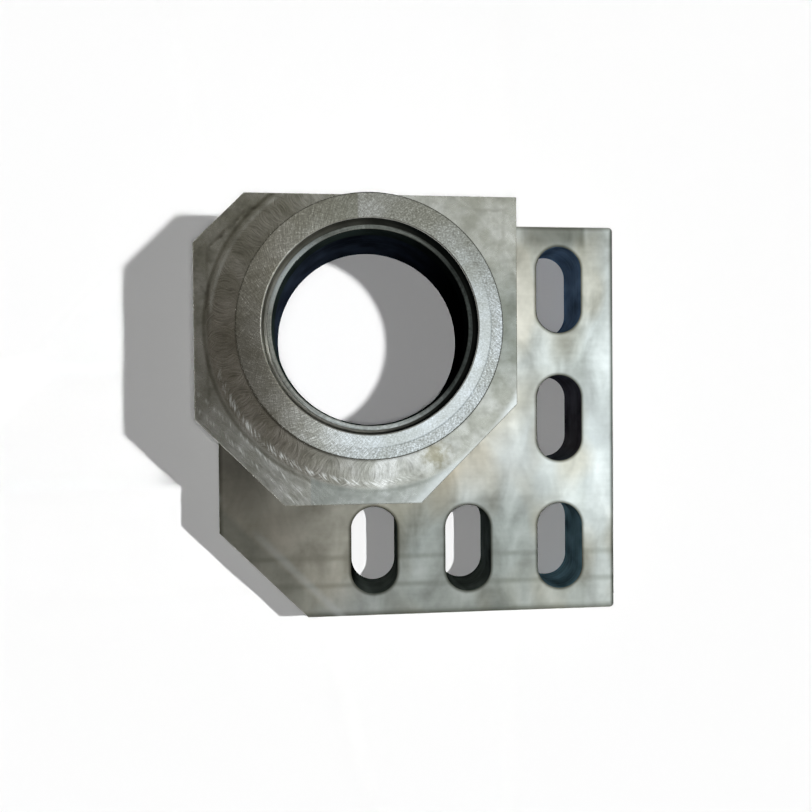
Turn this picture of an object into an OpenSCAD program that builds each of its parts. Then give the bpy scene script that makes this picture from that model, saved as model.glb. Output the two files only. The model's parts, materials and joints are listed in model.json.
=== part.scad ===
// Pillow block bearing housing, milled from one piece of steel.
// A thick base plate with slotted bolt holes carries a tall block that is flush with two of its sides.
// The block has three bevelled corners and a low round boss, and a stepped bore runs through everything.
// The bore axis is the Z axis and the plate's underside is at Z = 0.

/* [Base plate] */
// Width of the base plate, side to side
plate_w = 151; // [140:1:190]
// Length of the base plate, front to back
plate_l = 148; // [144:1:190]
// Thickness of the base plate
plate_t = 20; // [10:0.5:35]
// Length cut off the plate's front left corner, along each side
plate_corner = 32.5; // [5:0.5:38]
// Radius of the plate's two corners on the right
plate_round = 1.6; // [0.5:0.1:8]

/* [Block] */
// Width of the block, side to side
block_w = 104; // [100:1:116]
// Length of the block, front to back
block_l = 100; // [92:1:104]
// Height of the block above the base plate
block_h = 35; // [15:0.5:70]
// Bevel on the back left corner, through block and plate, along each side
bevel_back_left = 16; // [4:0.5:24]
// Bevel on the block's front left corner, along each side
bevel_front_left = 28; // [4:0.5:36]
// Bevel on the block's front right corner, along each side
bevel_front_right = 32; // [4:0.5:36]

/* [Boss] */
// Diameter of the round boss on the block's face
boss_d = 84.5; // [76:0.5:85.5]
// Height of the boss above the block's face
boss_h = 5; // [1:0.5:15]

/* [Bore] */
// Distance of the bore axis from the plate's left side
bore_from_left = 56; // [48:0.5:58]
// Distance of the bore axis from the plate's back side
bore_from_back = 43; // [42.5:0.5:50]
// Diameter of the bearing seat, which opens on the underside
seat_d = 72; // [66:0.5:74]
// Diameter of the shoulder lip that the bearing stops against
lip_d = 63; // [56:0.5:64]
// Length of the shoulder lip along the bore
lip_l = 8; // [3:0.5:12]
// Diameter of the flat ledge at the bottom of the seal recess
ledge_d = 66; // [65:0.1:67]
// Diameter of the seal recess at the boss face
mouth_d = 68.5; // [67.5:0.1:72]
// Depth of the seal recess below the boss face
mouth_depth = 3.5; // [1:0.5:8]
// Lead-in chamfer at the bearing seat's mouth
seat_chamfer = 1; // [0.3:0.1:2]

/* [Bolt slots] */
// Width of each slot, across its straight sides
slot_w = 17.5; // [10:0.5:20]
// Length of each slot, end to end
slot_l = 33; // [22:0.5:36]
// Distance of the corner slot's centre from the plate's right side
slot_from_right = 21.5; // [14:0.5:26]
// Distance of the corner slot's centre from the plate's front side
slot_from_front = 24.75; // [20:0.25:27]
// Distance between the slots of the front row
slot_pitch_row = 36; // [26:0.5:38]
// Distance between the slots of the right column
slot_pitch_column = 49.5; // [38:0.5:51]
// Number of slots in the front row, with the corner slot
slots_in_row = 3; // [1:1:3]
// Number of slots in the right column, with the corner slot
slots_in_column = 3; // [1:1:3]

/* [Edges] */
// Chamfer round the slots, the boss and the seal recess
edge_break = 0.3; // [0.2:0.1:1]

/* [Hidden] */
$fn = 96;

// Cuts reach this far past the faces that they open
past = 1;

// Sides of the plate, from the bore axis
left = -bore_from_left;
right = left + plate_w;
back = bore_from_back;
front = back - plate_l;

// Sides of the block, flush with the plate on the left and at the back
block_right = left + block_w;
block_front = back - block_l;

// Levels along the bore
block_top = plate_t + block_h;
boss_top = block_top + boss_h;
ledge_z = boss_top - mouth_depth;
seat_top = ledge_z - lip_l;

// Centre of the slot in the plate's front right corner
slot_x = right - slot_from_right;
slot_y = front + slot_from_front;
// Distance from a slot's centre to the centre of each rounded end
slot_half = (slot_l - slot_w) / 2;

// Outline of the base plate, with two cut corners on the left and two rounded ones on the right
module plate_outline() {
    r = plate_round;
    union() {
        polygon([
            [left + bevel_back_left, back],
            [right - r, back],
            [right, back - r],
            [right, front + r],
            [right - r, front],
            [left + plate_corner, front],
            [left, front + plate_corner],
            [left, back - bevel_back_left]
        ]);
        for (y = [back - r, front + r])
            translate([right - r, y])
                circle(r = r, $fn = 32);
    }
}

// Outline of the block, with its square corner at the back right
module block_outline() {
    polygon([
        [left + bevel_back_left, back],
        [block_right, back],
        [block_right, block_front + bevel_front_right],
        [block_right - bevel_front_right, block_front],
        [left + bevel_front_left, block_front],
        [left, block_front + bevel_front_left],
        [left, back - bevel_back_left]
    ]);
}

// Boss, turned with a broken outer edge, standing on the block's face
module boss() {
    r = boss_d / 2;
    rotate_extrude($fn = 180)
        polygon([
            [0, plate_t],
            [r, plate_t],
            [r, boss_top - edge_break],
            [r - edge_break, boss_top],
            [0, boss_top]
        ]);
}

// Half section of everything that is bored out, from the underside up to the boss face
module bore_cut() {
    seat_r = seat_d / 2;
    lip_r = lip_d / 2;
    ledge_r = ledge_d / 2;
    mouth_r = mouth_d / 2;
    rotate_extrude($fn = 180)
        polygon([
            [0, -past],
            [seat_r + seat_chamfer + past, -past],
            [seat_r, seat_chamfer],
            [seat_r, seat_top],
            [lip_r, seat_top],
            [lip_r, ledge_z],
            [ledge_r, ledge_z],
            [mouth_r, boss_top - edge_break],
            [mouth_r + edge_break + past, boss_top + past],
            [0, boss_top + past]
        ]);
}

// Chamfer round one slot where it meets the plate's face at Z = 0, widening upwards
module slot_chamfer() {
    r = slot_w / 2;
    top = past;
    low = -edge_break;
    for (y = [-slot_half, slot_half])
        translate([0, y, low])
            cylinder(h = top - low, r1 = r, r2 = r + top - low);
    rotate([90, 0, 0])
        linear_extrude(height = 2 * slot_half, center = true)
            polygon([
                [-r, low],
                [r, low],
                [r + top - low, top],
                [-r - top + low, top]
            ]);
}

// One slot through the plate, with both of its rims chamfered
module slot_cut() {
    translate([0, 0, -past])
        linear_extrude(height = plate_t + 2 * past)
            union() {
                square([slot_w, 2 * slot_half], center = true);
                for (y = [-slot_half, slot_half])
                    translate([0, y])
                        circle(d = slot_w);
            }
    translate([0, 0, plate_t])
        slot_chamfer();
    mirror([0, 0, 1])
        slot_chamfer();
}

// All the slots: a row along the front and a column along the right, which share the corner one
module slot_pattern() {
    for (i = [0 : slots_in_row - 1])
        translate([slot_x - i * slot_pitch_row, slot_y, 0])
            slot_cut();
    for (j = [1 : 1 : slots_in_column - 1])
        translate([slot_x, slot_y + j * slot_pitch_column, 0])
            slot_cut();
}

// The whole housing, one solid
module housing() {
    color("#8b8d88")
        difference() {
            union() {
                linear_extrude(height = plate_t)
                    plate_outline();
                linear_extrude(height = block_top)
                    block_outline();
                boss();
            }
            bore_cut();
            slot_pattern();
        }
}

housing();
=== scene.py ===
# %% [markdown]
# A bearing housing, milled from one block of steel
#
# The object is the housing of a ball bearing. A mill cut it from one piece of steel: a thick base plate
# with five slots for bolts, a tall block on it with three bevelled corners, and a low round boss on the
# block. A stepped bore runs through all of it, and the bearing sits in its wide part, pushed in from below.
# This lesson models that one piece by hand, with the operators of Blender's edit mode. Then it gives each
# surface the marks of the tool that cut it, because on bare metal the tool marks are what the eye reads.

# %% Load the fixed frame
import json
import math

import bmesh
import bpy
from mathutils import Euler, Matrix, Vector


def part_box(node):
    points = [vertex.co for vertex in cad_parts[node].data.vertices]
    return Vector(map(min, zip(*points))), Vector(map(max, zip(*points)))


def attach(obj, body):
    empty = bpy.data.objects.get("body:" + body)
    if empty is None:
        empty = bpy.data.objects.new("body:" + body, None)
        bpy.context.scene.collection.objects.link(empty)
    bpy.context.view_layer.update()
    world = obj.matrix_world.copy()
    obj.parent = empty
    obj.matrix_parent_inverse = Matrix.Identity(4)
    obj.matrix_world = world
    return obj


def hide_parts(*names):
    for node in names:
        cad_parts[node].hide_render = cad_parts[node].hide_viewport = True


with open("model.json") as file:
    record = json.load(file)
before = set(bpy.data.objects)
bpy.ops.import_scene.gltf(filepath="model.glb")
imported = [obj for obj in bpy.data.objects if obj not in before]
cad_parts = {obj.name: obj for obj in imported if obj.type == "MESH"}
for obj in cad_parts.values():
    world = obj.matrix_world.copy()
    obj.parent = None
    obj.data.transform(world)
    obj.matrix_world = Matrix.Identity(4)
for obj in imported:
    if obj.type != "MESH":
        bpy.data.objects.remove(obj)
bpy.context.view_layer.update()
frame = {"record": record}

bpy.ops.object.select_all(action="DESELECT")

# %% [markdown]
# The sizes come from the frame where it knows them. Its box gives the outside, and its mounts give the
# bore, the lip and the slots. What the frame doesn't say, such as the bevels, is written here in
# millimetres, which is how a workshop drawing would give it. One factor turns millimetres into Blender's
# metres. Two places that are nearly the same, within a tenth of a millimetre, count as one.

# %% Sizes of the housing
MM = 0.001
mounts = {mount["name"]: mount for mount in frame["record"]["mounts"]}
low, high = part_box("housing")

block_width = 104 * MM
block_length = 100 * MM
bevel_back_left = 16 * MM
bevel_front_left = 28 * MM
bevel_front_right = 32 * MM
plate_corner = 32.5 * MM
plate_round = 1.6 * MM
boss_radius = 42.25 * MM
boss_height = 5 * MM
edge_break = 0.3 * MM
nearly = 0.1 * MM

boss_top = high.z
block_top = boss_top - boss_height
plate_top = mounts["slots_row"]["pos_m"][2]
block_right = low.x + block_width
block_front = high.y - block_length
print("block", round(block_width / MM), "by", round(block_length / MM), "mm, top at", round(block_top / MM))

# %% [markdown]
# The camera stands almost straight above the housing, a little nearer to its front, and looks down with a
# small tilt. Its place was worked out from where the corners, circles and slots lie in the photograph. A
# short lens close to the object shows why the bore's far wall and the slots' right walls are in view.

# %% Camera
camera_place = Vector((-5.7, -22.9, 260.6)) * MM
camera_tilt = Euler([math.radians(-a) for a in (0.66, 4.68, 0.50)], "ZYX")
camera_lens_mm = 28.18

bpy.ops.object.camera_add(location=camera_place)
camera = bpy.context.object
camera.name = "camera"
camera.rotation_mode = "ZYX"
camera.rotation_euler = camera_tilt
camera.data.sensor_width = 36
camera.data.lens = camera_lens_mm
camera.data.clip_start = 10 * MM
camera.data.clip_end = 20
bpy.context.scene.camera = camera
print("camera stands", round((camera_place.z - boss_top) / MM), "mm above the boss")

# %% [markdown]
# Two helpers do what the mouse does by hand. One makes a piece the only selected one and opens it in edit
# mode. The other selects vertices, edges or faces by a test, such as where they are or which way they face.
# Everything is deselected first, because an operator acts on all that is selected.


# %% Helpers for modelling
def open_piece(piece):
    """Selects one piece alone and opens it in edit mode."""
    bpy.ops.object.select_all(action="DESELECT")
    piece.select_set(True)
    bpy.context.view_layer.objects.active = piece
    bpy.ops.object.mode_set(mode="EDIT")


def choose(piece, kind, test):
    """In edit mode, selects only the VERT, EDGE or FACE elements that pass the test, and counts them."""
    bpy.ops.mesh.select_mode(type=kind)
    bpy.ops.mesh.select_all(action="DESELECT")
    mesh = bmesh.from_edit_mesh(piece.data)
    elements = {"VERT": mesh.verts, "EDGE": mesh.edges, "FACE": mesh.faces}[kind]
    found = [element for element in elements if test(element)]
    for element in found:
        element.select_set(True)
    bmesh.update_edit_mesh(piece.data)
    return len(found)


def close_piece():
    """Goes back to object mode."""
    bpy.ops.object.mode_set(mode="OBJECT")


def upright_at(x, y):
    """A test for the upright edge that stands at x, y."""
    return lambda edge: all(math.hypot(vert.co.x - x, vert.co.y - y) < nearly for vert in edge.verts)


# %% [markdown]
# The base plate begins as a cube of the plate's size. Its two corners on the left are cut off at 45
# degrees, which is a bevel of one segment, and its two corners on the right are only rounded, a bevel of
# four. The back left corner is cut through plate and block together, so the same bevel serves both.

# %% The base plate
plate_size = Vector((high.x - low.x, high.y - low.y, plate_top))
plate_middle = Vector(((low.x + high.x) / 2, (low.y + high.y) / 2, plate_top / 2))
bpy.ops.mesh.primitive_cube_add(size=1, location=plate_middle, scale=plate_size)
housing = bpy.context.object
housing.name = "milled_housing"
bpy.ops.object.transform_apply(location=True, rotation=True, scale=True)

open_piece(housing)
corners = [
    (low.x, high.y, bevel_back_left, 1),
    (low.x, low.y, plate_corner, 1),
    (high.x, high.y, plate_round, 4),
    (high.x, low.y, plate_round, 4),
]
for x, y, leg, segments in corners:
    choose(housing, "EDGE", upright_at(x, y))
    bpy.ops.mesh.bevel(offset=leg, segments=segments, affect="EDGES")
close_piece()
print("plate", [round(s / MM) for s in plate_size], "mm,", len(housing.data.vertices), "corners")

# %% [markdown]
# The block could be a second cube, joined on. On the real part it was never separate, and its left and back
# walls run straight down into the plate's. So the plate's top face is cut along the block's outline with
# four planes, and the part inside is pulled up. The walls then carry on with no seam.

# %% The block
slant = Vector((1, 1, 0)).normalized()
block_planes = [
    (Vector((block_right, 0, 0)), Vector((1, 0, 0))),
    (Vector((0, block_front, 0)), Vector((0, -1, 0))),
    (Vector((low.x + bevel_front_left, block_front, 0)), Vector((-slant.x, -slant.y, 0))),
    (Vector((block_right - bevel_front_right, block_front, 0)), Vector((slant.x, -slant.y, 0))),
]


def footprint(planes):
    """A test for a face of the plate's top that lies inside all these planes."""

    def test(face):
        middle = face.calc_center_median()
        on_top = face.normal.z > 0.9 and abs(middle.z - plate_top) < nearly
        return on_top and all((middle - point).dot(normal) < 0 for point, normal in planes)

    return test


open_piece(housing)
for count, (point, normal) in enumerate(block_planes):
    choose(housing, "FACE", footprint(block_planes[:count]))
    bpy.ops.mesh.bisect(plane_co=point, plane_no=normal)
chosen = choose(housing, "FACE", footprint(block_planes))
bpy.ops.mesh.extrude_region_move(TRANSFORM_OT_translate={"value": (0, 0, block_top - plate_top)})
bpy.ops.mesh.select_all(action="SELECT")
bpy.ops.mesh.dissolve_limited(angle_limit=math.radians(0.5))
close_piece()
print("block pulled up from", chosen, "face, the piece has", len(housing.data.polygons), "faces")

# %% [markdown]
# The boss is a short cylinder, because a lathe or a circling mill leaves one. It starts inside the block
# and is joined with a Boolean, and the modifier is applied at once. A circle of 180 sides is so fine that a
# side is out of true by less than a hundredth of a millimetre.


# %% The boss
def combine(piece, tool, operation):
    """Joins a tool body to the piece or cuts it away, and removes the tool."""
    step = piece.modifiers.new("combine", "BOOLEAN")
    step.operation = operation
    step.solver = "EXACT"
    step.object = tool
    bpy.ops.object.select_all(action="DESELECT")
    piece.select_set(True)
    bpy.context.view_layer.objects.active = piece
    bpy.ops.object.modifier_apply(modifier=step.name)
    bpy.data.objects.remove(tool)


round_sides = 180
boss_foot = (plate_top + block_top) / 2
boss_depth = boss_top - boss_foot
bpy.ops.mesh.primitive_cylinder_add(
    vertices=round_sides, radius=boss_radius, depth=boss_depth, location=(0, 0, boss_foot + boss_depth / 2)
)
boss = bpy.context.object
bpy.ops.object.transform_apply(location=True, rotation=True, scale=True)
combine(housing, boss, "UNION")
print("boss of", round(2 * boss_radius / MM, 1), "mm joined")

# %% [markdown]
# What is bored out is modelled as a body of its own, a stack of discs and cones. It begins as a filled
# circle below the underside. Each step pulls its end face up and scales it to the next radius: the lead-in,
# the bearing seat, the lip that stops the bearing, a narrow flat ledge, and the cone of the seal's recess.

# %% The stepped bore
seat_radius = mounts["bearing_seat"]["dims"]["r_mm"] * MM
lip_radius = mounts["shoulder_lip"]["dims"]["r_mm"] * MM
lip_length = mounts["shoulder_lip"]["dims"]["length_mm"] * MM
ledge_radius = 33 * MM
mouth_radius = 34.25 * MM
mouth_depth = 3.5 * MM
seat_chamfer = 1 * MM
past = 1 * MM

ledge_level = boss_top - mouth_depth
seat_end = ledge_level - lip_length
bore_steps = [
    (seat_radius, seat_chamfer),
    (seat_radius, seat_end),
    (lip_radius, seat_end),
    (lip_radius, ledge_level),
    (ledge_radius, ledge_level),
    (mouth_radius, boss_top),
    (mouth_radius, boss_top + past),
]

radius, level = seat_radius + seat_chamfer + past, -past
bpy.ops.mesh.primitive_circle_add(
    vertices=round_sides, radius=radius, fill_type="NGON", location=(0, 0, level)
)
bore = bpy.context.object
bpy.ops.object.transform_apply(location=True, rotation=True, scale=True)
open_piece(bore)
bpy.ops.mesh.select_all(action="SELECT")
for next_radius, next_level in bore_steps:
    bpy.ops.mesh.extrude_region_move(TRANSFORM_OT_translate={"value": (0, 0, next_level - level)})
    share = next_radius / radius
    bpy.ops.transform.resize(value=(share, share, 1), center_override=(0, 0, next_level))
    radius, level = next_radius, next_level
bpy.ops.mesh.select_all(action="SELECT")
bpy.ops.mesh.normals_make_consistent(inside=False)
close_piece()
combine(housing, bore, "DIFFERENCE")
print("bore in", len(bore_steps), "steps, seat", round(2 * seat_radius / MM), "mm")

# %% [markdown]
# A slot is what a round end mill leaves when it moves sideways. Its cutter is a box whose four upright
# edges are rounded off by half of its width, so that each end becomes a half circle. The slot is modelled
# once and copied to its five places, each copy with its own mesh: three along the right side and three
# along the front, which share the corner one.

# %% The bolt slots
slot_radius = mounts["slots_column_back"]["dims"]["hole_r_mm"] * MM
slot_length = mounts["slots_column_back"]["dims"]["slot_length_mm"] * MM
column_pitch = mounts["slots_column_back"]["dims"]["spacing_y_mm"] * MM
slot_x = mounts["slots_column_front"]["pos_m"][0]
row_x, slot_y = mounts["slots_row"]["pos_m"][:2]
row_pitch = slot_x - row_x
slot_places = [(slot_x - i * row_pitch, slot_y) for i in range(3)]
slot_places += [(slot_x, slot_y + j * column_pitch) for j in (1, 2)]

bpy.ops.mesh.primitive_cube_add(
    size=1,
    location=(0, 0, plate_top / 2),
    scale=(2 * slot_radius, slot_length, plate_top + 2 * past),
)
first_slot = bpy.context.object
bpy.ops.object.transform_apply(location=True, rotation=True, scale=True)
open_piece(first_slot)
choose(first_slot, "EDGE", lambda edge: abs(edge.verts[0].co.z - edge.verts[1].co.z) > plate_top)
bpy.ops.mesh.bevel(offset=slot_radius - 0.001 * MM, segments=16, affect="EDGES")
bpy.ops.mesh.select_all(action="SELECT")
bpy.ops.mesh.remove_doubles(threshold=0.01 * MM)
close_piece()

for x, y in slot_places:
    bpy.ops.object.select_all(action="DESELECT")
    first_slot.select_set(True)
    bpy.context.view_layer.objects.active = first_slot
    bpy.ops.object.duplicate(linked=False)
    slot = bpy.context.object
    bpy.ops.transform.translate(value=(x, y, 0))
    bpy.ops.object.transform_apply(location=True, rotation=True, scale=True)
    combine(housing, slot, "DIFFERENCE")
bpy.data.objects.remove(first_slot)
print("slots at", [(round(x / MM, 2), round(y / MM, 2)) for x, y in slot_places])

# %% [markdown]
# No milled edge is perfectly sharp: a file or a deburring wheel breaks it by a few tenths of a millimetre.
# That narrow strip catches the light and draws the outline of the part. It is a real bevel here, on every
# outer edge that turns by more than 50 degrees. Inner corners keep the sharp line that the cutter left.

# %% Broken edges
outer_turn = math.radians(50)
lip_round = 0.3 * MM


def sharp_outside(edge):
    """A test for an edge that sticks out and turns by more than the limit."""
    return edge.is_manifold and edge.calc_face_angle_signed() > outer_turn


def lip_rim(edge):
    """A test for the inner edge of the ledge, where the lip begins."""
    places = [(math.hypot(vert.co.x, vert.co.y), vert.co.z) for vert in edge.verts]
    return all(abs(r - lip_radius) < 0.05 * MM and abs(z - ledge_level) < 0.01 * MM for r, z in places)


open_piece(housing)
bpy.ops.mesh.select_all(action="SELECT")
bpy.ops.mesh.remove_doubles(threshold=0.002 * MM)
choose(housing, "EDGE", lip_rim)
bpy.ops.mesh.bevel(offset=lip_round, segments=4, affect="EDGES")
broken = choose(housing, "EDGE", sharp_outside)
bpy.ops.mesh.bevel(offset=edge_break, segments=2, affect="EDGES")
bpy.ops.mesh.select_all(action="SELECT")
bpy.ops.mesh.normals_make_consistent(inside=False)
close_piece()
bpy.ops.object.shade_smooth_by_angle(angle=math.radians(15))
print("broke", broken, "edges, the piece has", len(housing.data.vertices), "vertices")

# %% [markdown]
# A colour in a picture is written for the screen, as sRGB. A shader counts in linear light, so one function
# turns the hex value. One more adds a node of any kind, with its links and settings, and every node below
# is made with it. A third starts a bare metal, whose patterns all read the place on the piece in
# millimetres.


# %% Helpers for materials
def linear(colour):
    """Turns an sRGB hex value into linear red, green and blue, with full alpha."""
    channels = [int(colour[i : i + 2], 16) / 255 for i in (1, 3, 5)]
    return [c / 12.92 if c <= 0.04045 else ((c + 0.055) / 1.055) ** 2.4 for c in channels] + [1]


def add(tree, kind, inputs, stops=(), **settings):
    """Adds a node. An input takes a value, a node or a socket. Stops are a ramp's places and colours."""
    node = tree.nodes.new("ShaderNode" + kind)
    for name, value in settings.items():
        setattr(node, name, value)
    for socket, value in inputs.items():
        if isinstance(value, bpy.types.Node):
            value = next(output for output in value.outputs if output.enabled)
        if isinstance(value, bpy.types.NodeSocket):
            tree.links.new(value, node.inputs[socket])
        else:
            node.inputs[socket].default_value = value
    for count, (at, colour) in enumerate(stops):
        ramp = node.color_ramp.elements
        stop = ramp[count] if count < 2 else ramp.new(at)
        stop.position = at
        stop.color = linear(colour)
    return node


def start_metal(name):
    """Starts a bare metal. Returns it with its tree, its shader and the place on the piece in mm."""
    metal = bpy.data.materials.new(name)
    metal.use_nodes = True
    tree = metal.node_tree
    shader = tree.nodes["Principled BSDF"]
    shader.inputs["Metallic"].default_value = 1
    place = add(tree, "TexCoord", {}).outputs["Object"]
    place = add(tree, "VectorMath", {0: place, "Scale": 1 / MM}, operation="SCALE")
    return metal, tree, shader, place


def finish_metal(tree, shader, colour, roughness, height, depth_mm):
    """Links a colour, a roughness and a relief of this depth to the shader."""
    relief = add(tree, "Bump", {"Height": height, "Distance": depth_mm * MM, "Strength": 1})
    for socket, node in (("Base Color", colour), ("Roughness", roughness), ("Normal", relief)):
        tree.links.new(next(output for output in node.outputs if output.enabled), shader.inputs[socket])


print("sRGB #808080 is", round(linear("#808080")[0], 3), "in linear light")

# %% [markdown]
# Tool marks are long and thin, so most patterns here are a noise that is stretched. It is read at a flat
# vector and one more value. Divided by a small number the noise changes fast, and divided by a large one it
# is drawn out. Round the bore, the vector is the direction from the axis, so a mark has no seam anywhere.


# %% Helpers for tool marks
def from_axis(tree, place):
    """The distance of a place from the bore axis in mm, and the direction to it."""
    flat = add(tree, "VectorMath", {0: place, 1: (1, 1, 0)}, operation="MULTIPLY")
    radius = add(tree, "VectorMath", {0: flat}, operation="LENGTH")
    around = add(tree, "VectorMath", {0: flat}, operation="NORMALIZE")
    return radius, around


def from_edge(tree, place, sides):
    """The distance of a place in mm from the nearest of these sides, each a point and a way outwards."""
    nearest = None
    for point, outwards in sides:
        offset = add(tree, "VectorMath", {0: tuple(point / MM), 1: place}, operation="SUBTRACT")
        depth = add(tree, "VectorMath", {0: offset, 1: tuple(outwards)}, operation="DOT_PRODUCT")
        if nearest is None:
            nearest = depth
        else:
            nearest = add(tree, "Math", {0: nearest, 1: depth}, operation="MINIMUM")
    return nearest


def stretched_noise(tree, vector, spread, value, rise, detail=2):
    """Noise that changes over spread along a flat vector and over rise along a value."""
    height = add(tree, "Math", {0: value, 1: rise}, operation="DIVIDE")
    lift = add(tree, "CombineXYZ", {"Z": height})
    scale = (1 / spread, 1 / spread, 0)
    spot = add(tree, "VectorMath", {0: vector, 1: scale, 2: lift}, operation="MULTIPLY_ADD")
    return add(tree, "TexNoise", {"Vector": spot, "Scale": 1, "Detail": detail})


def turned(tree, around, radius, middle, lean):
    """The direction from the axis, turned by lean radians for each mm outside the middle radius."""
    offset = add(tree, "Math", {0: radius, 1: middle}, operation="SUBTRACT")
    angle = add(tree, "Math", {0: offset, 1: lean}, operation="MULTIPLY")
    return add(tree, "VectorRotate", {"Vector": around, "Angle": angle}, rotation_type="Z_AXIS")


# %% [markdown]
# A material is given to faces, as a click on Assign does in edit mode. The faces are found by where they
# lie and which way they look.


# %% Helpers for giving materials to faces
def paint(piece, material, test):
    """Gives this material to the faces that pass the test, and counts them."""
    piece.data.materials.append(material)
    piece.active_material_index = len(piece.data.materials) - 1
    open_piece(piece)
    count = choose(piece, "FACE", test)
    bpy.ops.object.material_slot_assign()
    close_piece()
    return count


def level_face(height):
    """A test for a face that looks up from this height."""
    return lambda face: face.normal.z > 0.9 and abs(face.calc_center_median().z - height) < nearly


# %% [markdown]
# The walls were cut with the side of an end mill, which went round the outline in steps down. Its teeth
# leave fine upright lines a few tenths of a millimetre apart, and each step leaves a faint level line. The
# lines are drawn 0.9 mm wide here, because finer ones wouldn't show. Bare steel is a light, warm grey.

# %% The walls, cut with the side of a mill
side_cut, tree, shader, place = start_metal("side_milled_steel")
height = add(tree, "SeparateXYZ", {0: place}).outputs["Z"]
tooth_lines = stretched_noise(tree, place, 0.9, height, 45)
step_lines = stretched_noise(tree, place, 60, height, 2.5, detail=1)
clouds = add(tree, "TexNoise", {"Vector": place, "Scale": 0.08, "Detail": 3})
tone = add(tree, "Mix", {0: 0.12, 2: tooth_lines, 3: step_lines})
tone = add(tree, "Mix", {0: 0.35, 2: tone, 3: clouds})
tone = add(tree, "MapRange", {0: tone, 1: 0.3, 2: 0.7})
colour = add(tree, "ValToRGB", {0: tone}, stops=[(0, "#9b9a95"), (1, "#c4c5c1"), (0.5, "#b1b1ac")])
gloss = add(tree, "MapRange", {0: tone, 1: 0.1, 2: 0.9, 3: 0.4, 4: 0.28})
finish_metal(tree, shader, colour, gloss, tooth_lines, 0.03)
housing.data.materials.append(side_cut)
print("walls:", len(tree.nodes), "nodes")

# %% [markdown]
# The boss face was ground after turning. Grinding leaves a thick crowd of short scratches that run mostly
# outwards, some leaning one way and some the other. They are a few hundredths of a millimetre wide on the
# real part and 0.4 mm here, so that they show. To the right they give way to an even grain, and there a
# shaft collar has worn the inner band smoother, up to a faint dark circle.

# %% The ground face of the boss
ground, tree, shader, place = start_metal("ground_steel")
radius, around = from_axis(tree, place)
split = add(tree, "SeparateXYZ", {0: place})
across = split.outputs["X"]
boss_radius_mm = boss_radius / MM
scratch = 0.4 / boss_radius_mm
worn_radius = 38.3
leaning = turned(tree, around, radius, worn_radius, 0.02)
crossing = turned(tree, around, radius, worn_radius, -0.035)
scratches = stretched_noise(tree, leaning, scratch, radius, 2)
cross_scratches = stretched_noise(tree, crossing, 1.4 * scratch, radius, 2.5)
grain = add(tree, "TexNoise", {"Vector": place, "Scale": 1.7, "Detail": 4})
clouds = add(tree, "TexNoise", {"Vector": place, "Scale": 0.1, "Detail": 2})
marks = add(tree, "Mix", {0: 0.35, 2: scratches, 3: cross_scratches})
grainy = add(tree, "MapRange", {0: across, 1: -30, 2: 15, 3: 0.3, 4: 0.6})
marks = add(tree, "Mix", {0: grainy, 2: marks, 3: grain})
inner = add(tree, "MapRange", {0: radius, 1: worn_radius + 0.15, 2: worn_radius - 0.15})
toward = add(tree, "VectorMath", {0: around, 1: (0.82, -0.57, 0)}, operation="DOT_PRODUCT")
worn = add(tree, "MapRange", {0: toward, 1: 0.0, 2: 0.8, 4: 0.6})
worn = add(tree, "Math", {0: inner, 1: worn}, operation="MULTIPLY")
marks = add(tree, "Mix", {0: worn, 2: marks, 3: 0.61})
tone = add(tree, "MapRange", {0: marks, 1: 0.34, 2: 0.67})
colour = [(0, "#85847e"), (1, "#eceeec"), (0.5, "#b0b0ab"), (0.8, "#d0d1ce")]
colour = add(tree, "ValToRGB", {0: tone}, stops=colour)
print("scratches", round(scratch * boss_radius_mm, 2), "mm wide")

# %% [markdown]
# The grinding pass began and ended at one line near the back, where the tone jumps. A painted dark line
# along the outer edge stands for the shade there, and clouds keep the face from looking even. The left has
# a painted warm reflection, with single scratches that carry painted highlights, the front right has a
# painted cool reflection, and the back right has painted shade.

# %% Circle, line, clouds and painted light and shade on the boss
circle = add(tree, "Math", {0: radius, 1: worn_radius, 2: 0.25}, operation="COMPARE")
on_right = add(tree, "MapRange", {0: toward, 1: 0.5, 2: 0.8, 4: 0.5})
circle = add(tree, "Math", {0: circle, 1: on_right}, operation="MULTIPLY")
# painted shade: a dark line along the boss's outer edge
painted_edge_shade = add(tree, "MapRange", {0: radius, 1: boss_radius_mm - 0.5, 2: boss_radius_mm - 0.2})
pass_line = -3.9
before_line = add(tree, "MapRange", {0: across, 1: pass_line + 0.3, 2: pass_line - 0.3})
fading = add(tree, "MapRange", {0: across, 1: pass_line - 24, 2: pass_line})
at_back = add(tree, "MapRange", {0: split.outputs["Y"], 1: 10, 2: 14})
step = add(tree, "Math", {0: before_line, 1: fading}, operation="MULTIPLY")
step = add(tree, "Math", {0: step, 1: at_back}, operation="MULTIPLY")
cloudy = add(tree, "MapRange", {0: clouds, 1: 0.6, 2: 0.4})
# painted reflection tints: warmer on the left, where the boss mirrors the dim room, and cooler at the front
# right, where it mirrors the window
warm = add(tree, "MapRange", {0: across, 1: -8, 2: -30})
cool = add(tree, "MapRange", {0: toward, 1: -0.1, 2: 0.6})
# painted shade: the back right of the boss is darker
painted_boss_back_shade = add(tree, "VectorMath", {0: around, 1: (0.64, 0.77, 0)}, operation="DOT_PRODUCT")
painted_boss_back_shade = add(tree, "MapRange", {0: painted_boss_back_shade, 1: 0.75, 2: 0.97})
boss_tints = [
    (circle, "#b4b8bb"),
    (painted_edge_shade, "#5d5b55"),
    (step, "#d8d7cd"),
    (cloudy, "#e9e8e3"),
    (warm, "#f4efe6"),
    (cool, "#f4f8fd"),
    (painted_boss_back_shade, "#e6e6e2"),
]
for mask, tint in boss_tints:
    blend = {0: mask, 6: colour, 7: linear(tint)}
    colour = add(tree, "Mix", blend, data_type="RGBA", blend_type="MULTIPLY")
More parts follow.
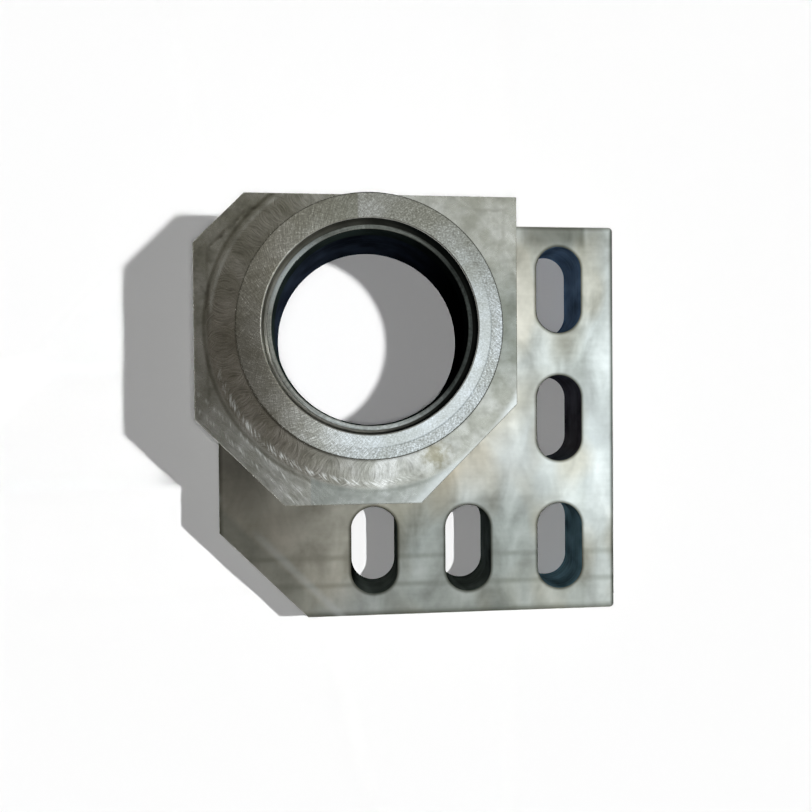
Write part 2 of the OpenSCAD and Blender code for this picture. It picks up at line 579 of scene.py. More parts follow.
# painted highlight: single scratches on the left are lighter
painted_highlight = add(tree, "MapRange", {0: marks, 1: 0.56, 2: 0.68, 4: 0.45})
painted_highlight = add(tree, "Math", {0: painted_highlight, 1: warm}, operation="MULTIPLY")
colour = add(tree, "Mix", {0: painted_highlight, 6: colour, 7: linear("#fbf8f0")}, data_type="RGBA")
gloss = add(tree, "MapRange", {0: marks, 1: 0.35, 2: 0.65, 3: 0.19, 4: 0.14})
finish_metal(tree, shader, colour, gloss, marks, 0.014)
count = paint(housing, ground, level_face(boss_top))
print("boss face:", count, "faces,", len(tree.nodes), "nodes")

# %% [markdown]
# A small end mill faced the block. It first ran round the boss and left a band of fine crossing arcs, each
# as wide as the mill's own circle. The arcs come from turning each place back by the height of that circle.
# On the left they still show. On the right they are rubbed away and leave soft clouds, and beside the front
# left bevel short marks run along it.

# %% The arcs in the milled face of the block
faced, tree, shader, place = start_metal("end_milled_steel")
radius, around = from_axis(tree, place)
split = add(tree, "SeparateXYZ", {0: place})
across = split.outputs["X"]
along = split.outputs["Y"]
cutter_radius = 5.1
band_middle = 47.2
band_end = 52
offset = add(tree, "Math", {0: radius, 1: band_middle}, operation="SUBTRACT")
square = add(tree, "Math", {0: offset, 1: offset}, operation="MULTIPLY")
inside = add(tree, "Math", {0: cutter_radius**2, 1: square}, operation="SUBTRACT")
inside = add(tree, "Math", {0: inside, 1: 0.0}, operation="MAXIMUM")
bulge = add(tree, "Math", {0: inside}, operation="SQRT")
arc_sets = []
for way in (1, -1):
    turn = add(tree, "Math", {0: bulge, 1: way / band_middle}, operation="MULTIPLY")
    turn = add(tree, "VectorRotate", {"Vector": around, "Angle": turn}, rotation_type="Z_AXIS")
    arc_sets.append(stretched_noise(tree, turn, 0.5 / band_middle, radius, 4, detail=3))
patches = add(tree, "TexNoise", {"Vector": place, "Scale": 0.22, "Detail": 2})
share = add(tree, "MapRange", {0: patches, 1: 0.4, 2: 0.6})
arcs = add(tree, "Mix", {0: share, 2: arc_sets[0], 3: arc_sets[1]})
arcs = add(tree, "MapRange", {0: arcs, 1: 0.2, 2: 0.8})
grain = add(tree, "TexNoise", {"Vector": place, "Scale": 1.1, "Detail": 3})
soft = add(tree, "TexNoise", {"Vector": place, "Scale": 0.3, "Detail": 2.5})
soft = add(tree, "Mix", {0: 0.25, 2: soft, 3: grain})
front_left = from_edge(tree, place, block_planes[2:3])
bevel_streaks = stretched_noise(tree, place, 3.5, front_left, 0.9)
near_bevel = add(tree, "MapRange", {0: front_left, 1: 16, 2: 11, 4: 0.65})
in_front = add(tree, "MapRange", {0: along, 1: -22, 2: -36})
near_bevel = add(tree, "Math", {0: near_bevel, 1: in_front}, operation="MULTIPLY")
soft = add(tree, "Mix", {0: near_bevel, 2: soft, 3: bevel_streaks})
in_band = add(tree, "MapRange", {0: radius, 1: band_end + 0.6, 2: band_end - 0.6})
clear = add(tree, "MapRange", {0: across, 1: 22, 2: -25, 3: 0.12, 4: 0.68})
clear = add(tree, "Math", {0: clear, 1: in_band}, operation="MULTIPLY")
marks = add(tree, "Mix", {0: clear, 2: soft, 3: arcs})
calm = add(tree, "MapRange", {0: across, 1: 5, 2: 32, 4: 0.45})
marks = add(tree, "Mix", {0: calm, 2: marks, 3: 0.51})
tone = add(tree, "MapRange", {0: marks, 1: 0.25, 2: 0.75})
colour = [(0, "#96958f"), (1, "#f3f2ee"), (0.5, "#cfcfca"), (0.8, "#e1e1dd")]
colour = add(tree, "ValToRGB", {0: tone}, stops=colour)
print("band of arcs up to", band_end, "mm from the axis")

# %% [markdown]
# After the band the mill followed the sides in a straight pass, 4.5 mm wide, and left a faint broken line
# beside it. A dark groove marks the end of the band on the left and in front, a pale ridge marks it in the
# back half, and a painted dark line at the foot of the boss stands for the shade there.

# %% Traces of the passes, and painted shade at the boss's foot, on the block
block_sides = block_planes + [
    (Vector((low.x, 0, 0)), Vector((-1, 0, 0))),
    (Vector((0, high.y, 0)), Vector((0, 1, 0))),
    (Vector((low.x + bevel_back_left, high.y, 0)), Vector((-slant.x, slant.y, 0))),
]
depth = from_edge(tree, place, block_sides)
pass_width = 4.5
line = add(tree, "Math", {0: soft, 1: 2.4, 2: depth}, operation="MULTIPLY_ADD")
line = add(tree, "Math", {0: line, 1: pass_width + 1.2}, operation="SUBTRACT")
line = add(tree, "Math", {0: line}, operation="ABSOLUTE")
line = add(tree, "MapRange", {0: line, 1: 0.9, 2: 0.1}, interpolation_type="SMOOTHSTEP")
broken_up = add(tree, "MapRange", {0: share, 3: 0.3, 4: 0.9})
line = add(tree, "Math", {0: line, 1: broken_up}, operation="MULTIPLY")
off_band = add(tree, "MapRange", {0: radius, 1: 50.2, 2: 51.2})
line = add(tree, "Math", {0: line, 1: off_band}, operation="MULTIPLY")
less_on_right = add(tree, "MapRange", {0: across, 1: -30, 2: 20, 3: 1.0, 4: 0.4})
line = add(tree, "Math", {0: line, 1: less_on_right}, operation="MULTIPLY")
out_of_band = add(tree, "Math", {0: 1.0, 1: in_band}, operation="SUBTRACT")
at_back = add(tree, "MapRange", {0: along, 1: -32, 2: -18})
line = add(tree, "Math", {0: line, 1: at_back}, operation="MULTIPLY")
groove = add(tree, "Math", {0: radius, 1: band_end + 0.8}, operation="SUBTRACT")
groove = add(tree, "Math", {0: groove}, operation="ABSOLUTE")
groove = add(tree, "MapRange", {0: groove, 1: 1.0, 2: 0.1}, interpolation_type="SMOOTHSTEP")
# painted shade: the left of the block is darker
painted_left_shade = add(tree, "MapRange", {0: across, 1: 10, 2: -34}, interpolation_type="SMOOTHSTEP")
grooved = add(tree, "MapRange", {0: along, 1: -30, 2: -45, 4: 0.7})
grooved = add(tree, "Math", {0: grooved, 1: painted_left_shade}, operation="MAXIMUM")
groove = add(tree, "Math", {0: groove, 1: grooved}, operation="MULTIPLY")
ridge = add(tree, "Math", {0: radius, 1: 51}, operation="SUBTRACT")
ridge = add(tree, "Math", {0: ridge}, operation="ABSOLUTE")
ridge = add(tree, "MapRange", {0: ridge, 1: 0.9, 2: 0.1, 4: 0.3}, interpolation_type="SMOOTHSTEP")
ridge = add(tree, "Math", {0: ridge, 1: broken_up}, operation="MULTIPLY")
ridge_end = add(tree, "MapRange", {0: along, 1: -5, 2: 8})
ridge = add(tree, "Math", {0: ridge, 1: ridge_end}, operation="MULTIPLY")
# painted shade: a dark line on the block at the foot of the boss
foot = add(tree, "MapRange", {0: radius, 1: 43.6, 2: 42.5}, interpolation_type="SMOOTHSTEP")
less_on_right = add(tree, "MapRange", {0: across, 1: -20, 2: 20, 3: 1.0, 4: 0.3})
foot = add(tree, "Math", {0: foot, 1: less_on_right}, operation="MULTIPLY")
print("straight pass", pass_width, "mm wide along", len(block_sides), "sides")

# %% [markdown]
# The left of the block is painted darker, as painted shade, and the band there browner, as a painted warm
# reflection. The back left, the middle of the right, the back right corner and the band on the right are
# painted darker too, as painted shade. The face is paler beside the two front bevels, where the painted
# shade stops and a painted highlight lies at the front right, and greyer in the strip along the front. A
# drop of oil dried on the right.

# %% Painted light and shade, clouds and an oil stain on the block
less_at_back = add(tree, "MapRange", {0: along, 1: 28, 2: 42, 3: 1.0, 4: 0.9})
painted_left_shade = add(tree, "Math", {0: painted_left_shade, 1: less_at_back}, operation="MULTIPLY")
facet = add(tree, "MapRange", {0: front_left, 1: 13, 2: 7, 4: 0.35})
facet = add(tree, "Math", {0: facet, 1: in_front}, operation="MULTIPLY")
not_facet = add(tree, "Math", {0: 1.0, 1: facet}, operation="SUBTRACT")
painted_left_shade = add(tree, "Math", {0: painted_left_shade, 1: not_facet}, operation="MULTIPLY")
# painted shade: the back left of the block is darker
painted_back_left_shade = add(tree, "MapRange", {0: along, 1: 10, 2: 34})
less_on_right = add(tree, "MapRange", {0: across, 1: 22, 2: 2})
painted_back_left_shade = add(tree, "Math", {0: painted_back_left_shade, 1: less_on_right}, operation="MULTIPLY")
# painted warm reflection: the band on the left is browner
painted_warm_reflection = add(tree, "Math", {0: painted_left_shade, 1: in_band}, operation="MULTIPLY")
less_at_back = add(tree, "MapRange", {0: along, 1: 2, 2: 24, 3: 1.0, 4: 0.45})
painted_warm_reflection = add(tree, "Math", {0: painted_warm_reflection, 1: less_at_back}, operation="MULTIPLY")
on_right = add(tree, "MapRange", {0: across, 1: 5, 2: 35}, interpolation_type="SMOOTHSTEP")
# painted shade: the band is darker on the right
painted_band_shade = add(tree, "Math", {0: on_right, 1: in_band}, operation="MULTIPLY")
# painted shade: the middle of the right side is darker
shaded = add(tree, "Math", {0: along}, operation="ABSOLUTE")
shaded = add(tree, "MapRange", {0: shaded, 1: 28, 2: 6}, interpolation_type="SMOOTHSTEP")
shaded = add(tree, "Math", {0: shaded, 1: on_right}, operation="MULTIPLY")
front_strip = add(tree, "MapRange", {0: across, 1: -19.9, 2: -19.5, 4: 0.6})
front_strip = add(tree, "Math", {0: front_strip, 1: in_front}, operation="MULTIPLY")
front_strip = add(tree, "Math", {0: front_strip, 1: out_of_band}, operation="MULTIPLY")
front_right = from_edge(tree, place, block_planes[3:4])
# painted highlight: the face is lighter by the front right bevel
painted_wedge_highlight = add(tree, "MapRange", {0: front_right, 1: 4, 2: 1.5, 4: 0.5})
outside = add(tree, "MapRange", {0: radius, 1: 50.4, 2: 53})
painted_wedge_highlight = add(tree, "Math", {0: painted_wedge_highlight, 1: outside}, operation="MULTIPLY")
# painted shade: the back right corner of the block is darker
painted_back_right_shade = add(tree, "MapRange", {0: across, 1: 22, 2: 32})
at_back = add(tree, "MapRange", {0: along, 1: 8, 2: 20})
painted_back_right_shade = add(tree, "Math", {0: painted_back_right_shade, 1: at_back}, operation="MULTIPLY")
painted_back_right_shade = add(tree, "Math", {0: painted_back_right_shade, 1: out_of_band}, operation="MULTIPLY")
clouds = add(tree, "TexNoise", {"Vector": place, "Scale": 0.11, "Detail": 3})
cloudy = add(tree, "MapRange", {0: clouds, 1: 0.6, 2: 0.42})
stain_middle = (20.5, -41.3, block_top / MM)
stain = add(tree, "VectorMath", {0: place, 1: stain_middle}, operation="DISTANCE")
stain = add(tree, "Math", {0: soft, 1: 14.0, 2: stain}, operation="MULTIPLY_ADD")
stain = add(tree, "MapRange", {0: stain, 1: 12.5, 2: 8}, interpolation_type="SMOOTHSTEP")
block_tints = [
    (line, "#bebbb5"),
    (groove, "#c6c4be"),
    (foot, "#5a5751"),
    (painted_back_left_shade, "#e9e9e5"),
    (painted_left_shade, "#bab6b0"),
    (painted_warm_reflection, "#d5cfc9"),
    (painted_band_shade, "#e2e2de"),
    (shaded, "#ccd0ce"),
    (painted_back_right_shade, "#e8e8e4"),
    (cloudy, "#e2e2dd"),
    (stain, "#e0dac9"),
]
for mask, tint in block_tints:
    blend = {0: mask, 6: colour, 7: linear(tint)}
    colour = add(tree, "Mix", blend, data_type="RGBA", blend_type="MULTIPLY")
for mask, tint in ((front_strip, "#959a95"), (ridge, "#cfcfc8"), (painted_wedge_highlight, "#e4e8e7")):
    colour = add(tree, "Mix", {0: mask, 6: colour, 7: linear(tint)}, data_type="RGBA")
print("block:", len(block_tints), "tints that darken it")

# %% [markdown]
# Painted highlights stand for worn ridges that shine: a row of short dashes stands along the end of the
# band at the front, and two fainter rows run beside the front left bevel. A bright colour is mixed in where
# a row and a fleck of noise meet.

# %% Painted highlights as shining dashes on the block
# painted highlights: rows of bright dashes
rows = add(tree, "Math", {0: front_left, 1: 3.0}, operation="SUBTRACT")
rows = add(tree, "Math", {0: rows, 1: 1.8}, operation="PINGPONG")
rows = add(tree, "MapRange", {0: rows, 1: 0.9, 2: 0.1, 4: 0.8})
near = add(tree, "MapRange", {0: front_left, 1: 8.5, 2: 7.5})
rows = add(tree, "Math", {0: rows, 1: near}, operation="MULTIPLY")
ring = add(tree, "Math", {0: radius, 1: 50.2}, operation="SUBTRACT")
ring = add(tree, "Math", {0: ring}, operation="ABSOLUTE")
ring = add(tree, "MapRange", {0: ring, 1: 1.3, 2: 0.3})
rows = add(tree, "Math", {0: rows, 1: ring}, operation="MAXIMUM")
leaning = turned(tree, around, radius, band_middle, -0.03)
glints = stretched_noise(tree, leaning, 0.85 / band_middle, radius, 1.6, detail=1)
glints = add(tree, "MapRange", {0: glints, 1: 0.5, 2: 0.68, 4: 0.7})
on_left = add(tree, "MapRange", {0: across, 1: 16, 2: 8})
glints = add(tree, "Math", {0: glints, 1: on_left}, operation="MULTIPLY")
front_half = add(tree, "MapRange", {0: along, 1: -8, 2: -32})
glints = add(tree, "Math", {0: glints, 1: rows}, operation="MULTIPLY")
glints = add(tree, "Math", {0: glints, 1: front_half}, operation="MULTIPLY")
colour = add(tree, "Mix", {0: glints, 6: colour, 7: linear("#fbfbf6")}, data_type="RGBA")
gloss = add(tree, "MapRange", {0: marks, 1: 0.35, 2: 0.65, 3: 0.31, 4: 0.25})
finish_metal(tree, shader, colour, gloss, marks, 0.01)
count = paint(housing, faced, level_face(block_top))
print("block face:", count, "faces,", len(tree.nodes), "nodes")

# %% [markdown]
# The plate was faced with a larger cutter and then lay about the workshop. Its face is clouded, with warm
# and cool patches that melt into each other, longer along the plate than across it. It is smoother and
# lighter than the block, so its pattern is large and weak.

# %% The clouded face of the plate
clouded, tree, shader, place = start_metal("clouded_milled_steel")
split = add(tree, "SeparateXYZ", {0: place})
across = split.outputs["X"]
along = split.outputs["Y"]
drawn_out = add(tree, "VectorMath", {0: place, 1: (1, 0.55, 1)}, operation="MULTIPLY")
clouds = add(tree, "TexNoise", {"Vector": drawn_out, "Scale": 0.085, "Detail": 3, "Distortion": 0.4})
grain = add(tree, "TexNoise", {"Vector": place, "Scale": 0.5, "Detail": 4})
warmth = add(tree, "TexNoise", {"Vector": drawn_out, "Scale": 0.06, "Detail": 1})
streaks = stretched_noise(tree, place, 40, along, 2.2)
tone = add(tree, "Mix", {0: 0.1, 2: clouds, 3: streaks})
tone = add(tree, "Mix", {0: 0.1, 2: tone, 3: grain})
tone = add(tree, "MapRange", {0: tone, 1: 0.31, 2: 0.69})
colour = add(tree, "ValToRGB", {0: tone}, stops=[(0, "#a6a6a1"), (1, "#f2f2ef"), (0.5, "#d0d1cd")])
print("clouds", round(1 / 0.085), "mm wide")

# %% [markdown]
# Only traces of the straight passes are left: lines along the front, a lighter strip on the right, a dark
# one at the back, and one along the cut corner, with a pale streak beside it. Painted shade lies along the
# rim, darker on the right, and round the slots. The distance from a slot is the distance from a short line,
# its middle, so the painted shade follows the slot's round ends.

# %% Passes and painted shade on the plate
plate_sides = [
    (Vector((high.x, 0, 0)), Vector((1, 0, 0))),
    (Vector((0, high.y, 0)), Vector((0, 1, 0))),
    (Vector((low.x, 0, 0)), Vector((-1, 0, 0))),
    (Vector((0, low.y, 0)), Vector((0, -1, 0))),
]
rim = from_edge(tree, place, plate_sides)
cut_side = (Vector((low.x + plate_corner, low.y, 0)), Vector((-slant.x, -slant.y, 0)))
cut = from_edge(tree, place, [cut_side])
first_line = -93.3
line_pitch = 10.5
line = add(tree, "Math", {0: along, 1: first_line}, operation="SUBTRACT")
line = add(tree, "Math", {0: line, 1: line_pitch / 2}, operation="PINGPONG")
line = add(tree, "MapRange", {0: line, 1: 1.8, 2: 0.1}, interpolation_type="SMOOTHSTEP")
in_front = add(tree, "MapRange", {0: along, 1: -78, 2: -81})
line = add(tree, "Math", {0: line, 1: in_front}, operation="MULTIPLY")
broken_up = add(tree, "MapRange", {0: clouds, 1: 0.28, 2: 0.7, 3: 0.2})
line = add(tree, "Math", {0: line, 1: broken_up}, operation="MULTIPLY")
near_slot = None
reach = (slot_length / 2 - slot_radius) / MM
for x, y in slot_places:
    middle = add(tree, "VectorMath", {0: place, 1: (x / MM, y / MM, plate_top / MM)}, operation="SUBTRACT")
    middle = add(tree, "VectorMath", {0: middle}, operation="ABSOLUTE")
    middle = add(tree, "VectorMath", {0: middle, 1: (0, reach, 0)}, operation="SUBTRACT")
    middle = add(tree, "VectorMath", {0: middle, 1: (0, 0, 0)}, operation="MAXIMUM")
    beside = add(tree, "VectorMath", {0: middle}, operation="LENGTH")
    if near_slot is None:
        near_slot = beside
    else:
        near_slot = add(tree, "Math", {0: near_slot, 1: beside}, operation="MINIMUM")
slot_radius_mm = slot_radius / MM
# painted shade round the slots
painted_slot_shade = {0: near_slot, 1: slot_radius_mm + 1.6, 2: slot_radius_mm}
painted_slot_shade = add(tree, "MapRange", painted_slot_shade, interpolation_type="SMOOTHERSTEP")
# painted shade along the rim, more on the right rim
painted_rim_shade = add(tree, "MapRange", {0: rim, 1: 1.8, 2: 0.2})
painted_right_rim_shade = add(tree, "MapRange", {0: across, 1: 93.7, 2: 94.5})
cool_left = add(tree, "MapRange", {0: across, 1: 25, 2: -15})
side_strip = add(tree, "MapRange", {0: across, 1: 85.2, 2: 82.6}, interpolation_type="SMOOTHSTEP")
off_block = add(tree, "MapRange", {0: across, 1: 57.5, 2: 63}, interpolation_type="SMOOTHSTEP")
back_strip = add(tree, "MapRange", {0: along, 1: 31, 2: 39}, interpolation_type="SMOOTHSTEP")
back_strip = add(tree, "Math", {0: back_strip, 1: side_strip}, operation="MULTIPLY")
back_strip = add(tree, "Math", {0: back_strip, 1: off_block}, operation="MULTIPLY")
cut_strip = add(tree, "MapRange", {0: cut, 1: 8.6, 2: 5.6}, interpolation_type="SMOOTHSTEP")
streak = add(tree, "Math", {0: cut, 1: 9}, operation="SUBTRACT")
streak = add(tree, "Math", {0: streak}, operation="ABSOLUTE")
streak = add(tree, "MapRange", {0: streak, 1: 2.4, 2: 0.2, 4: 0.36}, interpolation_type="SMOOTHSTEP")
streak_end = add(tree, "MapRange", {0: warmth, 1: 0.56, 2: 0.4})
streak = add(tree, "Math", {0: streak, 1: streak_end}, operation="MULTIPLY")
print("painted_shade round", len(slot_places), "slots")

# %% [markdown]
# The plate is painted brightest on the right, halfway along, as a painted highlight. It is painted dimmer
# on the left, dimmer still in the corner below the block, and dim round the row of slots, as painted shade.
# A warm patch lies beside the front right bevel.

# %% Painted light and shade on the plate
# painted shade in the corner below the block
corner = add(tree, "VectorMath", {0: place, 1: (-52, -42, plate_top / MM)}, operation="DISTANCE")
corner = add(tree, "MapRange", {0: corner, 1: 27, 2: 4})
beside_bevel = from_edge(tree, place, block_planes[3:4])
beside_bevel = add(tree, "MapRange", {0: beside_bevel, 1: -17, 2: -4})
in_front = add(tree, "MapRange", {0: along, 1: -10, 2: -25})
beside_bevel = add(tree, "Math", {0: beside_bevel, 1: in_front}, operation="MULTIPLY")
# painted highlight: a bright patch on the right of the plate
painted_highlight = add(tree, "VectorMath", {0: place, 1: (76, -44, plate_top / MM)}, operation="DISTANCE")
painted_highlight = add(tree, "MapRange", {0: painted_highlight, 1: 36, 2: 10, 4: 0.45})
patchy = add(tree, "MapRange", {0: clouds, 1: 0.62, 2: 0.42})
painted_highlight = add(tree, "Math", {0: painted_highlight, 1: patchy}, operation="MULTIPLY")
warm = add(tree, "MapRange", {0: warmth, 1: 0.45, 2: 0.62})
on_right = add(tree, "MapRange", {0: across, 1: 0, 2: 25})
warm = add(tree, "Math", {0: warm, 1: on_right}, operation="MULTIPLY")
cool = add(tree, "MapRange", {0: across, 1: 40, 2: 80})
# painted shade round the row of slots
front = add(tree, "MapRange", {0: along, 1: -45, 2: -74}, interpolation_type="SMOOTHSTEP")
for start, end in ((-20, 8), (75, 55)):
    side = add(tree, "MapRange", {0: across, 1: start, 2: end})
    front = add(tree, "Math", {0: front, 1: side}, operation="MULTIPLY")
# painted shade on the left, strongest near the block
dim_left = add(tree, "MapRange", {0: across, 1: 0, 2: -50})
near_block = add(tree, "MapRange", {0: along, 1: -92, 2: -62, 3: 0.35})
dim_left = add(tree, "Math", {0: dim_left, 1: near_block}, operation="MULTIPLY")
plate_tints = [
    (line, "#d9dad6"),
    (warm, "#f1eae0"),
    (cool, "#f4f9f9"),
    (front, "#cbcfce"),
    (dim_left, "#cccdcd"),
    (corner, "#bebec0"),
    (beside_bevel, "#efe7da"),
    (back_strip, "#a9a8a2"),
    (side_strip, "#f6f6f4"),
    (cut_strip, "#e6eaec"),
    (painted_rim_shade, "#aeada6"),
    (painted_slot_shade, "#94948e"),
    (painted_right_rim_shade, "#a3a6a4"),
    (cool_left, "#f3f4f7"),
]
colour = add(tree, "Mix", {0: painted_highlight, 6: colour, 7: linear("#eef0f0")}, data_type="RGBA")
for mask, tint in plate_tints:
    blend = {0: mask, 6: colour, 7: linear(tint)}
    colour = add(tree, "Mix", blend, data_type="RGBA", blend_type="MULTIPLY")
colour = add(tree, "Mix", {0: streak, 6: colour, 7: linear("#c4c8c8")}, data_type="RGBA")
gloss = add(tree, "MapRange", {0: tone, 1: 0.2, 2: 0.8, 3: 0.35, 4: 0.29})
finish_metal(tree, shader, colour, gloss, tone, 0.008)
count = paint(housing, clouded, level_face(plate_top))
print("plate face:", count, "faces,", len(tree.nodes), "nodes")

# %% [markdown]
# The bore and the walls of the slots are nearly black. Their dark colour is painted: it stands for the
# shade in the bore and slots and for the dark surroundings they mirror, and it soaks up light and hardly
# mirrors anything. So this finish is no bare metal: its colour is dark, and its reflection is turned off.
# The seat is painted navy, the lip above it greener, and the recess brownish with a paler foot. The slots
# on the left are green. Those in the column on the right go from teal at the front over a dark one to navy
# at the back. Painted shade makes the right side of the bore darker, dims the pale foot at the right and
# the back, and in every slot darkens the walls that face right.


# %% The dark bore and slots
def painted_dark_walls(name, left, right, start, end, foot=0, shade=0):
    """Painted dark walls, standing for shade and dark reflection. From start to end, in mm, its colour goes
    from the left one to the right ramp.
    """
    dark_paint, tree, shader, place = start_metal(name)
    shader.inputs["Metallic"].default_value = 0
    shader.inputs["Specular IOR Level"].default_value = 0
    split = add(tree, "SeparateXYZ", {0: place})
    rings = stretched_noise(tree, place, 25, split.outputs["Z"], 1.2)
    clouds = add(tree, "TexNoise", {"Vector": place, "Scale": 0.09, "Detail": 3})
    tone = add(tree, "Mix", {0: 0.75, 2: rings, 3: clouds})
    tone = add(tree, "MapRange", {0: tone, 1: 0.35, 2: 0.65})
    to_back = add(tree, "MapRange", {0: split.outputs["Y"], 1: low.y / MM, 2: high.y / MM})
    right = add(tree, "ValToRGB", {0: to_back}, stops=right)
    # painted shade: the walls go darker towards the right
    on_right = add(tree, "MapRange", {0: split.outputs["X"], 1: start, 2: end})
    colour = add(tree, "Mix", {0: on_right, 6: linear(left), 7: right}, data_type="RGBA")
    ledge_mm = ledge_level / MM
    pale = {0: split.outputs["Z"], 1: ledge_mm + 1.9, 2: ledge_mm + 1.3, 4: foot}
    pale = add(tree, "MapRange", pale)
    # painted shade: the pale foot fades at the right and the back
    for socket, begin, finish in (("X", 22, 4), ("Y", 24, 6)):
        side = add(tree, "MapRange", {0: split.outputs[socket], 1: begin, 2: finish, 3: 0.1})
        pale = add(tree, "Math", {0: pale, 1: side}, operation="MULTIPLY")
    colour = add(tree, "Mix", {0: pale, 6: colour, 7: linear("#85857e")}, data_type="RGBA")
    # painted shade: walls that face right, where the key lamps fall, are darker
    facing = add(tree, "TexCoord", {}).outputs["Normal"]
    facing = add(tree, "SeparateXYZ", {0: facing}).outputs["X"]
    facing = add(tree, "MapRange", {0: facing, 1: 0.2, 2: 0.95, 4: shade})
    for mask, tint in ((tone, "#9c9c9c"), (facing, "#303030")):
        blend = {0: mask, 6: colour, 7: linear(tint)}
        colour = add(tree, "Mix", blend, data_type="RGBA", blend_type="MULTIPLY")
    roughness = add(tree, "MapRange", {0: tone, 3: 0.85, 4: 0.7})
    finish_metal(tree, shader, colour, roughness, rings, 0.01)
    return dark_paint


black = [(0, "#020303"), (1, "#020303")]
green_black = [(0, "#060909"), (1, "#060909")]
brown_black = [(0, "#141816"), (1, "#141816")]
slot_tones = [(0.22, "#6c8d9a"), (1, "#6680a0"), (0.42, "#4a484c"), (0.6, "#4b4b56"), (0.76, "#6680a0")]
bore_dark_paint = painted_dark_walls("painted_dark_seat", "#28303d", black, 2, 30)
lip_dark_paint = painted_dark_walls("painted_dark_lip", "#262f2d", green_black, 4, 28)
recess_dark_paint = painted_dark_walls("painted_dark_recess", "#45453e", brown_black, -26, 14, foot=0.8)
slot_dark_paint = painted_dark_walls("painted_dark_slots", "#525a55", slot_tones, 45, 68, shade=1)
bore_wall = seat_radius + seat_chamfer + nearly


def in_bore(face):
    """A test for the walls of the bore, up to the recess."""
    middle = face.calc_center_median()
    inwards = middle.x * face.normal.x + middle.y * face.normal.y < 0
    return math.hypot(middle.x, middle.y) < bore_wall and (inwards or face.normal.z < -0.9)


def in_seat(face):
    """A test for the bearing seat, below the lip."""
    middle = face.calc_center_median()
    return in_bore(face) and 0.01 * MM < middle.z < seat_end + nearly


def in_lip(face):
    """A test for the wall of the lip, above the seat."""
    middle = face.calc_center_median()
    return in_bore(face) and abs(face.normal.z) < 0.2 and seat_end + nearly < middle.z < ledge_level


def in_recess(face):
    """A test for the cone of the recess, without its rim."""
    middle = face.calc_center_median()
    return in_bore(face) and abs(face.normal.z) < 0.45 and middle.z > ledge_level + nearly


def in_slot(face):
    """A test for the walls of the slots."""
    middle = face.calc_center_median()
    near = 0
    for x, y in slot_places:
        beyond = max(abs(middle.y - y) - reach * MM, 0)
        near += math.hypot(middle.x - x, beyond) < slot_radius + 0.5 * MM
    return near > 0 and middle.z < plate_top and abs(face.normal.z) < 0.9


counts = [
    paint(housing, bore_dark_paint, in_seat),
    paint(housing, lip_dark_paint, in_lip),
    paint(housing, recess_dark_paint, in_recess),
    paint(housing, slot_dark_paint, in_slot),
]
print("dark faces on seat, lip, recess and slots:", counts)

# %% [markdown]
# A narrow ledge lies between the recess and the lip. It was turned on a lathe, so its marks are fine rings,
# and its inner edge is rounded. Painted shade darkens the corner where it meets the recess, and the right,
# the back and the left of the ledge, and a painted highlight shines at the back left.

# %% The turned ledge
turned_steel, tree, shader, place = start_metal("turned_steel")
radius, around = from_axis(tree, place)
split = add(tree, "SeparateXYZ", {0: place})
rings = stretched_noise(tree, around, 0.4, radius, 0.25)
flecks = stretched_noise(tree, around, 0.03, radius, 1)
tone = add(tree, "Mix", {0: 0.4, 2: rings, 3: flecks})
tone = add(tree, "MapRange", {0: tone, 1: 0.35, 2: 0.65})
colour = add(tree, "ValToRGB", {0: tone}, stops=[(0, "#858884"), (1, "#c6c9c5"), (0.5, "#a1a4a0")])
# painted shade in the corner where the ledge meets the recess
painted_corner_shade = add(tree, "MapRange", {0: radius, 1: 32.75, 2: 33})
# painted shade at the right, the back and the left of the ledge
on_right = add(tree, "MapRange", {0: split.outputs["X"], 1: 5, 2: 26})
at_back = add(tree, "MapRange", {0: split.outputs["Y"], 1: 8, 2: 26})
on_left = add(tree, "MapRange", {0: split.outputs["X"], 1: -12, 2: -28})
ledge_tints = [
    (painted_corner_shade, "#77776f"),
    (on_right, "#585b59"),
    (at_back, "#a6a6a1"),
    (on_left, "#c9c5be"),
]
for mask, tint in ledge_tints:
    blend = {0: mask, 6: colour, 7: linear(tint)}
    colour = add(tree, "Mix", blend, data_type="RGBA", blend_type="MULTIPLY")
# painted highlight at the back left of the ledge
shine = add(tree, "VectorMath", {0: around, 1: (-0.82, 0.57, 0)}, operation="DOT_PRODUCT")
shine = add(tree, "MapRange", {0: shine, 1: 0.88, 2: 0.99, 4: 0.45})
colour = add(tree, "Mix", {0: shine, 6: colour, 7: linear("#c2c8c8")}, data_type="RGBA")
gloss = add(tree, "MapRange", {0: tone, 3: 0.36, 4: 0.26})
finish_metal(tree, shader, colour, gloss, rings, 0.01)


def on_ledge(face):
    """A test for the ledge and its rounded inner edge."""
    middle = face.calc_center_median()
    distance = math.hypot(middle.x, middle.y)
    at_level = abs(middle.z - ledge_level) < 1 * MM
    return distance < ledge_radius and at_level and face.normal.z > 0.45


count = paint(housing, turned_steel, on_ledge)
print("ledge:", count, "faces,", len(tree.nodes), "nodes")

# %% [markdown]
# The underside was faced in two straight passes with a wide face mill. Its teeth leave long arcs, and where
# the passes meet, the arcs cross a seam. Each arc is a piece of the cutter's circle, moved on by the feed.

